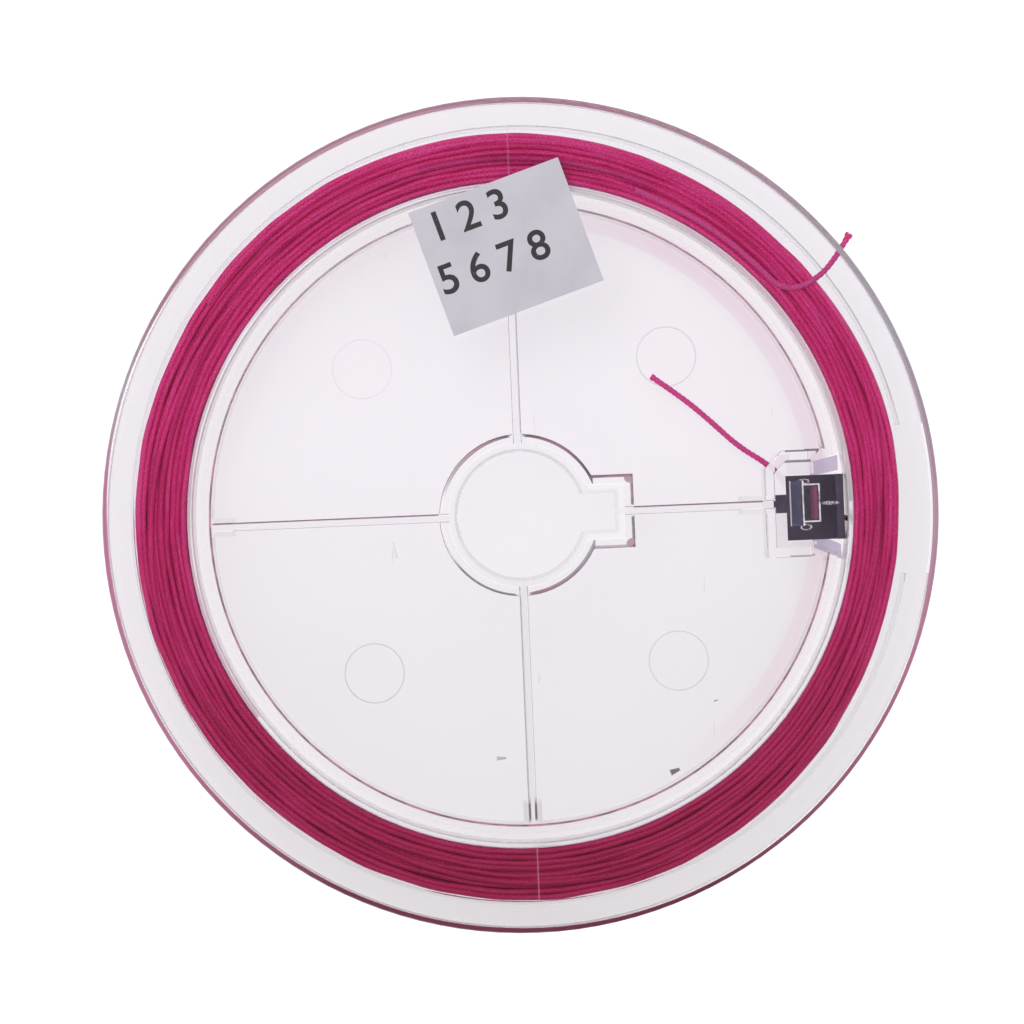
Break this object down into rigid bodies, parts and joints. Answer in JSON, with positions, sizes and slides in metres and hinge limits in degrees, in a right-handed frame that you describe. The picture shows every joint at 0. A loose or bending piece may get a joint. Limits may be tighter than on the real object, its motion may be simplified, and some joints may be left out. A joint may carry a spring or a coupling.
{
  "type": "fishing line spool",
  "caption": "Clear two-piece snap-together spool with a keyed hub and ribs, wound with magenta braided line; line keeper, latch, retaining band and label.",
  "frame": {"origin": "centre of the rear flange's outer face, which the spool lies on", "axes": "+Z along the hub from the rear to the front flange, +X from the hub to the latch pocket"},
  "size_m": [0.1, 0.1, 0.0141],
  "materials": {
    "clear_plastic": "clear, polished",
    "dark_plastic": "glossy",
    "braid": "woven, waxed",
    "clear_film": "clear film",
    "paper": "paper"
  },
  "bodies": {
    "rear": {"rear_half": "clear_plastic", "line_keeper": "dark_plastic", "line_core": "braid", "line_turns": "braid", "inner_tail": "braid", "outer_tail": "braid"},
    "front": {"front_half": "clear_plastic", "paper_label": "paper"},
    "latch": {"latch_tongue": "clear_plastic"},
    "band": {"retaining_band": "clear_film"}
  },
  "joints": [
    {"name": "front_pull", "type": "slide", "parent": "rear", "child": "front", "axis": [0, 0, 1], "range_m": [0, 0.0125]},
    {"name": "latch_flex", "type": "hinge", "parent": "rear", "child": "latch", "pos_m": [0.03425, 0, 0.0035], "axis": [0, -1, 0], "range_deg": [0, 3], "stiffness_Nm_per_rad": 0.15},
    {"name": "band_turn", "type": "hinge", "parent": "rear", "child": "band", "pos_m": [0, 0, 0.0065], "axis": [0, 0, 1], "continuous": true}
  ]
}
